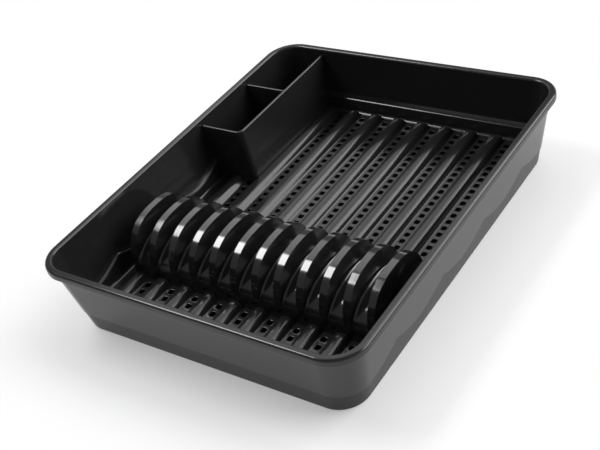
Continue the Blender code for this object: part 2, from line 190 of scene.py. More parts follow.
PLASTICS = {
    "basin_black": {
        "colour": (0.012, 0.012, 0.013), "pale": (0.021, 0.021, 0.022), "gloss": 0.16, "refraction": 1.46,
        "polish": 0.0, "grain_scale": 1500.0, "grain_depth": 0.10, "scuff": 0.6,
    },
    "gloss_black": {
        "colour": (0.008, 0.008, 0.009), "pale": (0.016, 0.016, 0.017), "gloss": 0.14, "refraction": 1.55,
        "polish": 0.6, "grain_scale": 1300.0, "grain_depth": 0.05, "scuff": 0.4,
    },
    "satin_black": {
        "colour": (0.012, 0.012, 0.013), "pale": (0.021, 0.021, 0.022), "gloss": 0.24, "refraction": 1.5,
        "polish": 0.0, "grain_scale": 1400.0, "grain_depth": 0.06, "scuff": 0.4,
    },
    "tray_black": {
        "colour": (0.012, 0.012, 0.013), "pale": (0.022, 0.022, 0.023), "gloss": 0.30, "refraction": 1.36,
        "polish": 0.0, "grain_scale": 1500.0, "grain_depth": 0.12, "scuff": 0.5,
    },
}
# Scales of the noise in the plastics, and the levels between which marks and dust begin to show.
DRIFT_SCALE = 14.0
DUST_SCALE = 420.0
FLOW_STRETCH = (9.0, 60.0, 60.0)
HAIR_STRETCH = (1400.0, 26.0, 500.0)
CROSS_HAIR_STRETCH = (40.0, 1500.0, 500.0)
HAIR_LEVELS = (0.66, 0.74)
CROSS_HAIR_LEVELS = (0.68, 0.76)
DUST_LEVELS = (0.62, 0.80)
DUSTY_PATCH_LEVELS = (0.42, 0.66)
GRAIN_HEIGHT = 0.0001
COAT_ROUGHNESS = 0.10
COAT_REFRACTION = 1.5
RUBBER_GRAIN_SCALE = 1800.0
RUBBER_DUST_SCALE = 300.0
RUBBER_DUST_LEVELS = (0.5, 0.8)
RUBBER_COLOUR = (0.022, 0.022, 0.023)
RUBBER_DUSTY = (0.060, 0.058, 0.055)
RUBBER_ROUGHNESS = 0.72
RUBBER_GRAIN_HEIGHT = 0.0002
TOOTH_SCALE = 60.0
FLOOR_COLOUR = (0.945, 0.945, 0.947)
FLOOR_PALE = (0.955, 0.955, 0.957)
WHITE = (1.0, 1.0, 1.0, 1.0)

# The share of white in the floor close to the rack, and how far beside the rack it is all white.
FLOOR_LIFT = 0.33
WHITE_REACH = 0.15
STUDIO_HALF = 15.0
BACKDROP_HEIGHT = 3.0
AMBIENT = 0.22
# name, place, direction of the long side, size, brightness
LAMPS = (
    ("upper_strip", (-1.40, 1.40, 2.03), (0.0, -0.80, 0.60), (1.66, 1.40), 1.18),
    ("lower_strip", (-1.66, -0.20, 2.57), (0.0, 1.0, 0.0), (1.50, 0.76), 12.0),
    ("overhead", (0.60, 3.40, 4.80), (1.0, 0.0, 0.0), (4.2, 2.8), 2.6),
    ("side", (4.40, 3.80, 2.90), (-0.9, 1.0, 0.0), (6.5, 4.4), 4.8),
)

# Angles in degrees: the heading turns left from the rack's long direction, and the dip looks down.
CAMERA_PLACE = (0.6005, -0.7221, 0.7197)
CAMERA_HEADING = 41.08
CAMERA_DIP = 36.71
CAMERA_ROLL = -13.54
CAMERA_LENS = 64.6
CAMERA_SENSOR = 36.0
CAMERA_NEAREST = 0.01


# ---- outlines ------------------------------------------------------------------------------------


def body_half_sizes(z):
    """Half width, half length and corner radius of the tapering body at height z."""
    below = (BODY_TOP_Z - z) / BODY_TOP_Z
    half_x = RIM_WIDTH_X / 2 - LIP_OVERHANG_X - DRAFT_X * below
    half_y = RIM_LENGTH_Y / 2 - LIP_OVERHANG_Y - DRAFT_Y * below
    radius = BODY_TOP_RADIUS - (BODY_TOP_RADIUS - BODY_BOTTOM_RADIUS) * below
    return half_x, half_y, radius


def wave_height(y):
    return WAVE_TROUGH_Z + WAVE_RISE * (1 - abs(math.cos(math.pi * y / WAVE_PITCH)))


def long_side_stations():
    _, half_y, radius = body_half_sizes(0.0)
    last = int(2 * (half_y - radius) / WAVE_PITCH) * WAVE_STEPS // 2
    return [index * WAVE_PITCH / WAVE_STEPS for index in range(-last, last + 1)]


def outline(half_x, half_y, radius):
    """Rounded rectangle of (x, y, turn); the turn is 0 on the long sides and 1 on the short ones."""
    points = []
    for sign in (1, -1):
        points += [(sign * half_x, sign * y, 0.0) for y in long_side_stations()]
        for quarter in (0, 1):
            side = sign if quarter == 0 else -sign
            for step in range(CORNER_STEPS + 1):
                share = step / CORNER_STEPS
                angle = math.pi / 2 * (quarter + share)
                x = side * (half_x - radius) + sign * radius * math.cos(angle)
                y = sign * (half_y - radius) + sign * radius * math.sin(angle)
                points.append((x, y, abs(quarter - share)))
    return points


def level_loop(half_x, half_y, radius, z):
    return [(x, y, z) for x, y, _ in outline(half_x, half_y, radius)]


def body_loop(z, inset):
    half_x, half_y, radius = body_half_sizes(z)
    return level_loop(half_x - inset, half_y - inset, radius - inset, z)


def rim_loop(z, inset):
    half_x = RIM_WIDTH_X / 2 - inset
    half_y = RIM_LENGTH_Y / 2 - inset
    return level_loop(half_x, half_y, RIM_CORNER_RADIUS - inset, z)


def wave_loop(inset, lift):
    """A loop on the body's side, set in by inset, that follows the wavy line raised by lift."""
    last = long_side_stations()[-1]
    loop = []
    for index, (_, y, turn) in enumerate(outline(*body_half_sizes(SHORT_SIDE_Z))):
        along = max(-last, min(last, y))
        z = wave_height(along) * (1 - turn) + SHORT_SIDE_Z * turn + lift
        half_x, half_y, radius = body_half_sizes(z)
        on_side = outline(half_x - inset, half_y - inset, radius - inset)[index]
        loop.append((on_side[0], on_side[1], z))
    return loop


def quarter(centre_a, centre_b, radius, start, end, steps=ROUND_STEPS):
    """Points (a, b) on an arc between two angles in degrees, a across and b up."""
    points = []
    for step in range(steps + 1):
        angle = math.radians(start + (end - start) * step / steps)
        points.append((centre_a + radius * math.cos(angle), centre_b + radius * math.sin(angle)))
    return points


# ---- mesh helpers --------------------------------------------------------------------------------


def new_object(name, mesh):
    made = bpy.data.objects.new(name, mesh)
    bpy.context.scene.collection.objects.link(made)
    return made


def mesh_from(name, build):
    bm = bmesh.new()
    build(bm)
    bmesh.ops.recalc_face_normals(bm, faces=bm.faces[:])
    mesh = bpy.data.meshes.new(name)
    bm.to_mesh(mesh)
    bm.free()
    return mesh


def skin(bm, loops, ring):
    """Bands between loops in order. A ring also joins the last to the first; otherwise both are capped."""
    rows = [[bm.verts.new(point) for point in loop] for loop in loops]
    pairs = list(zip(rows, rows[1:] + rows[:1])) if ring else list(zip(rows, rows[1:]))
    for lower, upper in pairs:
        count = len(lower)
        for index in range(count):
            after = (index + 1) % count
            bm.faces.new((lower[index], lower[after], upper[after], upper[index]))
    if not ring:
        bm.faces.new(rows[0])
        bm.faces.new(rows[-1])


def prism(bm, points, place, start, end):
    """An outline of (a, b) carried from start to end; place gives the corner at (a, b) and a distance."""
    ends = [[bm.verts.new(place(a, b, s)) for a, b in points] for s in (start, end)]
    count = len(points)
    for index in range(count):
        after = (index + 1) % count
        bm.faces.new((ends[0][index], ends[0][after], ends[1][after], ends[1][index]))
    bm.faces.new(ends[0])
    bm.faces.new(ends[1])


def along_x(a, b, s):
    return (s, a, b)


def bake_modifiers(made):
    """Turns what the modifiers show into the object's own mesh."""
    bpy.context.view_layer.update()
    evaluated = made.evaluated_get(bpy.context.evaluated_depsgraph_get())
    final = bpy.data.meshes.new_from_object(evaluated)
    made.modifiers.clear()
    made.data = final


def combine(target, tool_mesh, operation, solver="MANIFOLD"):
    """Boolean of target with a mesh, applied at once."""
    tool = new_object("tool", tool_mesh)
    modifier = target.modifiers.new("combine", "BOOLEAN")
    modifier.operation = operation
    modifier.solver = solver
    modifier.object = tool
    bake_modifiers(target)
    bpy.data.objects.remove(tool)


def round_edges(target, width, segments, angle):
    modifier = target.modifiers.new("round", "BEVEL")
    modifier.width = width
    modifier.segments = segments
    modifier.limit_method = "ANGLE"
    modifier.angle_limit = math.radians(angle)
    modifier.use_clamp_overlap = True
    modifier.harden_normals = False
    bake_modifiers(target)


def shade(made, angle=SHARP_ANGLE):
    """Smooth shading that keeps edges sharper than the angle, with even light on the flats."""
    made.data.shade_smooth()
    made.data.set_sharp_from_angle(angle=math.radians(angle))
    modifier = made.modifiers.new("even_flats", "WEIGHTED_NORMAL")
    modifier.keep_sharp = True
    modifier.weight = 50
    bake_modifiers(made)


# ---- shared places -------------------------------------------------------------------------------

INNER = BASIN_STEP + BASIN_WALL
FLOOR_HALF_X = body_half_sizes(FLOOR_TOP_Z)[0] - INNER
FLOOR_HALF_Y = body_half_sizes(FLOOR_TOP_Z)[1] - INNER
FLOOR_RADIUS = body_half_sizes(FLOOR_TOP_Z)[2] - INNER
RACK_FRONT_Y = RACK_FROM_FRONT - FLOOR_HALF_Y
RACK_BACK_Y = RACK_FRONT_Y + RACK_DEPTH
RACK_MIDDLE_Y = RACK_FRONT_Y + RACK_DEPTH / 2
DIVIDER_FOOT_X = -FLOOR_HALF_X + DIVIDER_WIDTH + 2 * DIVIDER_WALL
DIVIDER_FRONT_Y = FLOOR_HALF_Y - DIVIDER_LENGTH
RIB_CENTRES = [(index - (RIB_COUNT - 1) / 2) * RIB_PITCH for index in range(RIB_COUNT)]


def rib_end_y(centre):
    past = max(0.0, abs(centre) + RIB_BASE_WIDTH / 2 + FLOOR_THICK - (FLOOR_HALF_X - FLOOR_RADIUS))
    reach = math.sqrt(max(0.0, (FLOOR_RADIUS - RIB_WALL_CLEARANCE) ** 2 - past ** 2))
    return FLOOR_HALF_Y - FLOOR_RADIUS + reach


# ---- basin ---------------------------------------------------------------------------------------


def basin_section():
    """Loops around the wall's section: up the inside, over the rim, down the outside, under the foot."""
    foot_centre_z = FLOOR_TOP_Z + FOOT_FILLET * math.cos(FOOT_START) - FOOT_SINK
    foot_inset = INNER + FOOT_FILLET * (1 - math.sin(FOOT_START))
    loops = [body_loop(FLOOR_TOP_Z - FLOOR_THICK / 2, foot_inset)]
    for step in range(FOOT_STEPS + 1):
        angle = FOOT_START + (math.pi / 2 - FOOT_START) * step / FOOT_STEPS
        inset = INNER + FOOT_FILLET * (1 - math.sin(angle))
        loops.append(body_loop(foot_centre_z - FOOT_FILLET * math.cos(angle), inset))
    ledge = [
        (INNER, LEDGE_RISE - 0.0010), (INNER - 0.0001, LEDGE_RISE - 0.0005),
        (INNER - 0.0004, LEDGE_RISE - 0.0001), (INNER - 0.0009, LEDGE_RISE + 0.0001),
        (INNER - 0.0013, LEDGE_RISE + 0.0004), (INNER - 0.0016, LEDGE_RISE + 0.0010),
        (BASIN_WALL + 0.0003, LEDGE_RISE + 0.0050), (BASIN_WALL, LEDGE_RISE + 0.0066),
    ]
    loops += [wave_loop(inset, lift) for inset, lift in ledge]
    edge = RIM_INNER_EDGE
    for inset, z in quarter(RIM_FLANGE - edge, HEIGHT - edge, edge, 0, 90):
        loops.append(rim_loop(z, inset))
    for inset, z in quarter(RIM_EDGE, HEIGHT - RIM_EDGE, RIM_EDGE, 90, 180):
        loops.append(rim_loop(z, inset))
    for inset, z in quarter(LIP_EDGE, BODY_TOP_Z + LIP_EDGE, LIP_EDGE, 180, 270, 3):
        loops.append(rim_loop(z, inset))
    loops.append(rim_loop(BODY_TOP_Z + LIP_INNER_EDGE, LIP_WALL - LIP_INNER_EDGE))
    loops.append(rim_loop(BODY_TOP_Z + LIP_EDGE, LIP_WALL))
    rim_under = HEIGHT - LIP_WALL
    loops.append(rim_loop(rim_under - RIM_UNDER_FILLET, LIP_WALL))
    loops.append(rim_loop(rim_under, LIP_WALL + RIM_UNDER_FILLET))
    loops.append(body_loop(rim_under, -RIM_UNDER_FILLET))
    loops.append(body_loop(rim_under - RIM_UNDER_FILLET, 0.0))
    edge = STEP_EDGE
    for inset, lift in quarter(edge, edge, edge, 180, 270, 3):
        loops.append(wave_loop(inset, lift))
    loops.append(wave_loop(BASIN_STEP - STEP_FILLET, 0.0))
    loops.append(wave_loop(BASIN_STEP, -STEP_FILLET))
    edge = UNDERSIDE_EDGE
    for inset, z in quarter(BASIN_STEP + edge, FLOOR_UNDER_Z + edge, edge, 180, 270, 3):
        loops.append(body_loop(z, inset))
    loops.append(body_loop(FLOOR_UNDER_Z, foot_inset))
    return loops


def rib_spans():
    """(centre, start y, end y, rounded start, rounded end) for every stretch of rib."""
    corner_y = DIVIDER_FRONT_Y - SLIDE_FIT
    spans = []
    for centre in RIB_CENTRES:
        back_end = rib_end_y(centre)
        spans.append((centre, -back_end, RACK_FRONT_Y - SLIDE_FIT, True, False))
        in_corner = centre + RIB_TOP_WIDTH / 2 < DIVIDER_FOOT_X + SLIDE_FIT
        last = corner_y if in_corner else back_end
        spans.append((centre, RACK_BACK_Y + SLIDE_FIT, last, False, not in_corner))
    return spans


def rib_rise(distance):
    """Height at a distance inside the rib's foot: a flank blended into the floor and the top."""
    run = (RIB_BASE_WIDTH - RIB_TOP_WIDTH) / 2
    slope = RIB_HEIGHT / run
    flank = slope * distance
    foot = slope * (distance + RIB_FOOT_BLEND) ** 2 / (4 * RIB_FOOT_BLEND)
    edge = RIB_HEIGHT - slope * (run + RIB_EDGE_BLEND - distance) ** 2 / (4 * RIB_EDGE_BLEND)
    rise = np.where(distance > RIB_FOOT_BLEND, flank, foot)
    rise = np.where(distance > run - RIB_EDGE_BLEND, edge, rise)
    rise = np.where(distance > run + RIB_EDGE_BLEND, RIB_HEIGHT, rise)
    return np.where(distance < -RIB_FOOT_BLEND, 0.0, rise)


def floor_heights(xs, ys):
    """Height of the ribs above the floor over a grid of stations."""
    grid_x, grid_y = np.meshgrid(xs, ys, indexing="ij")
    heights = np.zeros_like(grid_x)
    half = RIB_BASE_WIDTH / 2
    for centre, start, end, round_start, round_end in rib_spans():
        from_axis = np.abs(grid_x - centre)
        to_side = half - from_axis
        to_start = grid_y - start if round_start else np.full_like(grid_y, FAR)
        to_end = end - grid_y if round_end else np.full_like(grid_y, FAR)
        to_tip = np.minimum(to_start, to_end)
        nearest = np.minimum(to_side, to_tip)
        gap_side = np.maximum(RIB_END_RADIUS - to_side, 0.0)
        gap_tip = np.maximum(RIB_END_RADIUS - to_tip, 0.0)
        both = (gap_side > 0) & (gap_tip > 0)
        rounded = RIB_END_RADIUS - np.hypot(gap_side, gap_tip)
        distance = np.where(both, rounded, nearest)
        crown = RIB_CROWN * np.clip(1 - (2 * from_axis / RIB_TOP_WIDTH) ** 2, 0.0, 1.0)
        rise = rib_rise(distance)
        rise = rise + crown * rise / RIB_HEIGHT
        inside = (grid_y > start - RIB_FOOT_BLEND) & (grid_y < end + RIB_FOOT_BLEND)
        if not round_start:
            inside &= grid_y > start - EDGE_SLACK
        if not round_end:
            inside &= grid_y < end + EDGE_SLACK
        heights = np.maximum(heights, np.where(inside, rise, 0.0))
    in_corner = grid_x < DIVIDER_FOOT_X + SLIDE_FIT - EDGE_SLACK
    in_corner &= grid_y > DIVIDER_FRONT_Y - SLIDE_FIT + EDGE_SLACK
    return np.where(in_corner, 0.0, heights)


def hole_columns():
    return [(left + right) / 2 for left, right in zip(RIB_CENTRES, RIB_CENTRES[1:])]


def hole_rows():
    limit = FLOOR_HALF_Y - HOLE_WALL_MARGIN
    margin = HOLE_LENGTH / 2 + RACK_WALL
    rows = []
    y = limit
    while y >= -limit:
        if y > RACK_BACK_Y + margin or y < RACK_FRONT_Y - margin:
            rows.append(y)
        y -= HOLE_PITCH
    return rows


def tidy_stations(values):
    """The values in order, without those that almost repeat the one before."""
    kept = []
    for value in sorted(values):
        if not kept or value - kept[-1] > LEAST_STATION:
            kept.append(value)
    return kept


def floor_stations_x():
    edge = FLOOR_HALF_X + FLOOR_OVERRUN
    stations = [-edge, edge]
    for inset in SIDE_INSETS:
        stations += [-edge + inset, edge - inset]
    for centre in RIB_CENTRES:
        stations += [centre + side * offset for offset in RIB_OFFSETS for side in (-1, 1)]
    for column in hole_columns():
        stations += [column + share * STRIP_HALF for share in STRIP_SHARES]
    cut = DIVIDER_FOOT_X + SLIDE_FIT
    return tidy_stations(stations + [cut - UPRIGHT_RUN_X, cut])


def floor_stations_y():
    edge = FLOOR_HALF_Y + FLOOR_OVERRUN
    rows = hole_rows()
    half = HOLE_PITCH / 2
    stations = []
    for row in rows:
        near_end = abs(row) > FLOOR_HALF_Y - FINE_END_ZONE
        parts = END_ROW_PARTS if near_end else ROW_PARTS
        stations += [row - half + HOLE_PITCH * part / parts for part in range(parts + 1)]
    fine = FINE_STATION
    count = int((edge - rows[0] - half) / fine)
    stations += [rows[0] + half + fine * index for index in range(1, count + 1)] + [edge]
    count = int((edge + rows[-1] - half) / fine)
    stations += [rows[-1] - half - fine * index for index in range(1, count + 1)] + [-edge]
    for face, way in ((RACK_FRONT_Y - SLIDE_FIT, 1), (RACK_BACK_Y + SLIDE_FIT, -1)):
        stations += [face, face + way * UPRIGHT_RUN_Y]
    stations += [DIVIDER_FRONT_Y - SLIDE_FIT, DIVIDER_FRONT_Y - SLIDE_FIT + UPRIGHT_RUN_Y]
    return tidy_stations(stations)


def hole_outline(direction_x, direction_y, grow):
    """Where a ray from a hole's middle leaves its rounded-square edge, grown by grow."""
    half_x = HOLE_WIDTH / 2 + grow
    half_y = HOLE_LENGTH / 2 + grow
    corner = HOLE_CORNER + grow
    low, high = 0.0, HOLE_SEARCH_REACH
    for _ in range(HOLE_SEARCH_STEPS):
        middle = (low + high) / 2
        x = abs(direction_x) * middle
        y = abs(direction_y) * middle
        out_x = max(x - half_x + corner, 0.0)
        out_y = max(y - half_y + corner, 0.0)
        if math.hypot(out_x, out_y) > corner:
            high = middle
        else:
            low = middle
    return direction_x * low, direction_y * low


def nearest_index(stations, value):
    return int(np.argmin(np.abs(np.array(stations) - value)))


def grid_ring(left, right, front, back):
    """Grid places around a block of cells, in order."""
    ring = [(i, front) for i in range(left, right)] + [(right, j) for j in range(front, back)]
    ring += [(i, back) for i in range(right, left, -1)]
    return ring + [(left, j) for j in range(back, front, -1)]


def hole_steps():
    """(growth, height) of the rings down a drain hole: its eased upper edge, then its wall."""
    steps = [(HOLE_EDGE, FLOOR_TOP_Z)]
    for angle in HOLE_EDGE_ANGLES:
        drop = HOLE_EDGE * (1 - math.cos(angle))
        steps.append((HOLE_EDGE * (1 - math.sin(angle)), FLOOR_TOP_Z - drop))
    steps.append((0.0, FLOOR_TOP_Z - FLOOR_SHEET_THICK))
    return steps


def floor_sheet():
    """The ribbed floor as one closed sheet, with every drain hole through it."""
    xs = floor_stations_x()
    ys = floor_stations_y()
    rise = floor_heights(xs, ys)
    across, along = len(xs), len(ys)
    points = []
    for level in (0.0, -FLOOR_SHEET_THICK):
        for i in range(across):
            for j in range(along):
                points.append((xs[i], ys[j], FLOOR_TOP_Z + rise[i, j] + level))
    lower = across * along
    open_cells = set()
    faces = []
    half = HOLE_PITCH / 2
    for column in hole_columns():
        left = nearest_index(xs, column - STRIP_HALF)
        right = nearest_index(xs, column + STRIP_HALF)
        for row in hole_rows():
            front = nearest_index(ys, row - half)
            back = nearest_index(ys, row + half)
            open_cells.update((i, j) for i in range(left, right) for j in range(front, back))
            edge = grid_ring(left, right, front, back)
            rings = [[i * along + j for i, j in edge]]
            for grow, z in hole_steps():
                ring = []
                for i, j in edge:
                    way_x, way_y = xs[i] - column, ys[j] - row
                    length = math.hypot(way_x, way_y)
                    x, y = hole_outline(way_x / length, way_y / length, grow)
                    ring.append(len(points))
                    points.append((column + x, row + y, z))
                rings.append(ring)
            rings.append([lower + i * along + j for i, j in edge])
            for outer, inner in zip(rings, rings[1:]):
                for index in range(len(edge)):
                    after = (index + 1) % len(edge)
                    faces.append((outer[index], outer[after], inner[after], inner[index]))
    for i in range(across - 1):
        for j in range(along - 1):
            if (i, j) in open_cells:
                continue
            a = i * along + j
            faces.append((a, a + along, a + along + 1, a + 1))
            faces.append((lower + a, lower + a + 1, lower + a + along + 1, lower + a + along))
    border = grid_ring(0, across - 1, 0, along - 1)
    for here, after in zip(border, border[1:] + border[:1]):
        a = here[0] * along + here[1]
        b = after[0] * along + after[1]
        faces.append((a, lower + a, lower + b, b))
    mesh = bpy.data.meshes.new("floor")
    mesh.from_pydata(points, [], faces)
    bm = bmesh.new()
    bm.from_mesh(mesh)
    loose = [vertex for vertex in bm.verts if not vertex.link_faces]
    bmesh.ops.delete(bm, geom=loose, context="VERTS")
    bmesh.ops.recalc_face_normals(bm, faces=bm.faces[:])
    bm.to_mesh(mesh)
    bm.free()
    return mesh


def make_basin():
    basin = new_object("draining_basin", floor_sheet())
    low = body_loop(FLOOR_CLIP_LOW_Z, FLOOR_CLIP_INSET)
    high = body_loop(FLOOR_CLIP_HIGH_Z, FLOOR_CLIP_INSET + FLOOR_CLIP_LEAN)
    clip = mesh_from("clip", lambda bm: skin(bm, [low, high], False))
    combine(basin, clip, "INTERSECT")
    wall = mesh_from("wall", lambda bm: skin(bm, basin_section(), True))
    combine(basin, wall, "UNION")
    shade(basin)
    return basin


# ---- drip tray and pads --------------------------------------------------------------------------


def pad_places():
    half_x, half_y, _ = body_half_sizes(TRAY_UNDERSIDE_Z)
    x, y = half_x - PAD_FROM_EDGE, half_y - PAD_FROM_EDGE
    return {
        "pad_front_left": (-x, -y), "pad_front_right": (x, -y),
        "pad_back_left": (-x, y), "pad_back_right": (x, y),
    }


def tray_section():
    """Loops from under the tray, up its outside, over the wavy edge and down to its floor."""
    edge = TRAY_EDGE_ROUND
    inner = TRAY_INSET + TRAY_WALL
    loops = []
    for inset, z in reversed(quarter(TRAY_INSET + edge, TRAY_UNDERSIDE_Z + edge, edge, 180, 270, 6)):
        loops.append(body_loop(z, inset))
    lip = TRAY_LIP_EDGE
    for inset, lift in reversed(quarter(TRAY_INSET + lip, -TRAY_EDGE_GAP - lip, lip, 90, 180, 3)):
        loops.append(wave_loop(inset, lift))
    for inset, lift in reversed(quarter(inner - lip, -TRAY_EDGE_GAP - lip, lip, 0, 90, 3)):
        loops.append(wave_loop(inset, lift))
    fillet = TRAY_FLOOR_FILLET
    for inset, z in quarter(inner + fillet, TRAY_FLOOR_TOP_Z + fillet, fillet, 180, 270, 6):
        loops.append(body_loop(z, inset))
    return loops


def bar(bm, low, high):
    corners = [(low[0], low[1]), (high[0], low[1]), (high[0], high[1]), (low[0], high[1])]
    prism(bm, corners, lambda a, b, s: (a, b, s), low[2], high[2])


def make_tray():
    tray = new_object("water_tray", mesh_from("tray", lambda bm: skin(bm, tray_section(), False)))

    def bars(bm):
        for x, y in pad_places().values():
            low = (x - STANDOFF_LENGTH / 2, y - STANDOFF_WIDTH / 2, TRAY_FLOOR_TOP_Z - STANDOFF_SINK)
            high = (x + STANDOFF_LENGTH / 2, y + STANDOFF_WIDTH / 2, FLOOR_UNDER_Z - SEAT)
            bar(bm, low, high)

    rests = new_object("rests", mesh_from("rests", bars))
    round_edges(rests, STANDOFF_EDGE, segments=3, angle=50)
    rest_mesh = rests.data.copy()
    bpy.data.objects.remove(rests)
    combine(tray, rest_mesh, "UNION")
    shade(tray)
    return tray


def pad_mesh():
    """A turned disc whose lower and upper edges are softened."""
    turn = [2 * math.pi * index / PAD_SIDES for index in range(PAD_SIDES)]

    def build(bm):
        loops = []
        for radius, z in PAD_PROFILE:
            loops.append([(radius * math.cos(angle), radius * math.sin(angle), z) for angle in turn])
        skin(bm, loops, False)

    return mesh_from("pad", build)


def make_pads():
    pads = {}
    for name, (x, y) in pad_places().items():
        pad = new_object(name, pad_mesh())
        pad.data.transform(Matrix.Translation((x, y, 0.0)))
        shade(pad, PAD_SHARP_ANGLE)
        pads[name] = pad
    return pads


# ---- plate rack ----------------------------------------------------------------------------------


def loaf(inset, bottom_z):
    """The plate rack's domed outline from the side, set in by inset, as points (y, z)."""
    half = RACK_DEPTH / 2 - inset
    rise = RACK_HEIGHT - RACK_SPRING - inset
    spring_z = INSERT_SEAT_Z + RACK_SPRING
    points = [(RACK_MIDDLE_Y + half, bottom_z)]
    for step in range(LOAF_STEPS + 1):
        angle = math.pi * step / LOAF_STEPS
        cosine = math.cos(angle)
        reach = abs(cosine) ** (2 / RACK_ROUNDNESS)
        lift = max(math.sin(angle), 0.0) ** (2 / RACK_ROUNDNESS)
        lift = lift if 0 < step < LOAF_STEPS else 0.0
        points.append((RACK_MIDDLE_Y + math.copysign(half * reach, cosine), spring_z + rise * lift))
    points.append((RACK_MIDDLE_Y - half, bottom_z))
    return points


def slot_loop(centre, y, grow):
    """Section at y of one slot, whose floor is half an ellipse from the front to the back."""
    half = (FIN_PITCH - FIN_WIDTH) / 2 + grow
    reach = min(abs(y - RACK_MIDDLE_Y) / (RACK_DEPTH / 2 - grow), 1.0)
    foot_z = INSERT_SEAT_Z + RACK_HEIGHT - SLOT_DEPTH - SLOT_ARCH
    floor_z = foot_z + (SLOT_ARCH - grow) * math.sqrt(1.0 - reach ** 2)
    fillet = SLOT_FILLET + grow
    top = [(half, INSERT_SEAT_Z + RACK_HEIGHT + CUT)]
    right = top + quarter(half - fillet, floor_z + fillet, fillet, 0, -90, 6)
    left = [(-x, z) for x, z in reversed(right)]
    return [(centre + x, y, z) for x, z in right + left]


def slots(bm, grow):
    half = RACK_DEPTH / 2 - grow
    stations = [RACK_FRONT_Y - CUT]
    turns = [math.pi * step / SLOT_STEPS for step in range(SLOT_STEPS + 1)]
    stations += [RACK_MIDDLE_Y - half * math.cos(turn) for turn in turns]
    stations.append(RACK_BACK_Y + CUT)
    for index in range(FIN_COUNT - 1):
        centre = (index - (FIN_COUNT - 2) / 2) * FIN_PITCH
        skin(bm, [slot_loop(centre, y, grow) for y in stations], False)


def make_plate_rack():
    half = ((FIN_COUNT - 1) * FIN_PITCH + FIN_WIDTH) / 2
    body = mesh_from("loaf", lambda bm: prism(bm, loaf(0.0, INSERT_SEAT_Z), along_x, -half, half))
    rack = new_object("plate_stand", body)
    combine(rack, mesh_from("slots", lambda bm: slots(bm, 0.0)), "DIFFERENCE", "EXACT")
    round_edges(rack, FIN_EDGE, segments=5, angle=50)
    inner = half - RACK_WALL
    hollow_side = loaf(RACK_WALL, INSERT_SEAT_Z - CUT)
    core = new_object("core", mesh_from("core", lambda bm: prism(bm, hollow_side, along_x, -inner, inner)))
    combine(core, mesh_from("core_slots", lambda bm: slots(bm, RACK_WALL)), "DIFFERENCE", "EXACT")
    hollow = core.data.copy()
    bpy.data.objects.remove(core)
    combine(rack, hollow, "DIFFERENCE", "EXACT")
    shade(rack)
    return rack


# ---- cutlery divider -----------------------------------------------------------------------------


def divider_plan():
    """Outline from above of the long wall, the end wall and the partition, with its corners rounded."""
    outer = DIVIDER_FOOT_X
    inner = outer - DIVIDER_WALL
    left = -RIM_WIDTH_X / 2 - DIVIDER_OVERRUN
    back = RIM_LENGTH_Y / 2
    front = DIVIDER_FRONT_Y
    wall = DIVIDER_WALL
    middle = front + PARTITION_FROM_END
    corner, turn, fillet = DIVIDER_CORNER, DIVIDER_INNER_CORNER, JUNCTION_FILLET
    points = [(left, front)]
    points += quarter(outer - corner, front + corner, corner, -90, 0, 8)
    points += [(outer, back), (inner, back)]
    points += quarter(inner - fillet, middle + wall + fillet, fillet, 0, -90, 5)
    points += [(left, middle + wall), (left, middle)]
    points += quarter(inner - fillet, middle - fillet, fillet, 90, 0, 5)
    points += quarter(inner - turn, front + wall + turn, turn, 0, -90, 6)
    points.append((left, front + wall))
    return points


def make_divider():
    def walls(bm):
        plan = divider_plan()
        foot = [(x, y, INSERT_SEAT_Z) for x, y in plan]
        crown = [(x - DIVIDER_LEAN, y, DIVIDER_TOP_Z) for x, y in plan]
        skin(bm, [foot, crown], False)

    divider = new_object("cutlery_walls", mesh_from("walls", walls))
    round_edges(divider, DIVIDER_EDGE, segments=4, angle=60)
    keep = INNER + SLIDE_FIT

    def room(bm):
        """The space inside the basin that the walls may fill."""
        skin(bm, [
            body_loop(FLOOR_TOP_Z - CUT, keep + FOOT_FILLET),
            body_loop(INSERT_SEAT_Z, keep + FOOT_FILLET),
            body_loop(INSERT_SEAT_Z + FOOT_FILLET * FOOT_EASE, keep + FOOT_FILLET * FOOT_EASE),
            body_loop(INSERT_SEAT_Z + FOOT_FILLET, keep),
            wave_loop(keep, LEDGE_RISE + SLIDE_FIT),
            wave_loop(BASIN_WALL + SLIDE_FIT, LEDGE_RISE + LEDGE_CLEARANCE + SLIDE_FIT),
            rim_loop(HEIGHT - RIM_INNER_EDGE, RIM_FLANGE + SLIDE_FIT),
            rim_loop(HEIGHT + CUT, RIM_FLANGE + SLIDE_FIT),
        ], False)

    combine(divider, mesh_from("room", room), "INTERSECT", "EXACT")
    shade(divider)
    return divider


# ---- finishes ------------------------------------------------------------------------------------


class Signal:
    """A shader socket whose arithmetic adds Math nodes."""

    def __init__(self, finish, socket):
        self.finish = finish
        self.socket = socket

    def math(self, operation, *others):
        values = dict(enumerate((self, *others)))
        return self.finish.node("ShaderNodeMath", {"operation": operation}, values)

    def __add__(self, other):
        return self.math("ADD", other)

    def __sub__(self, other):
        return self.math("SUBTRACT", other)

    def __mul__(self, other):
        return self.math("MULTIPLY", other)

    def __pow__(self, other):
        return self.math("POWER", other)

    __radd__ = __add__

    def clamp(self):
        return self.finish.node("ShaderNodeClamp", {}, {"Value": self, "Min": 0.0, "Max": 1.0})

    def ramp(self, low, high):
        """0 below low, 1 above high and smooth between."""
        limits = {"Value": self, "From Min": low, "From Max": high}
        return self.finish.node("ShaderNodeMapRange", {"interpolation_type": "SMOOTHSTEP"}, limits)


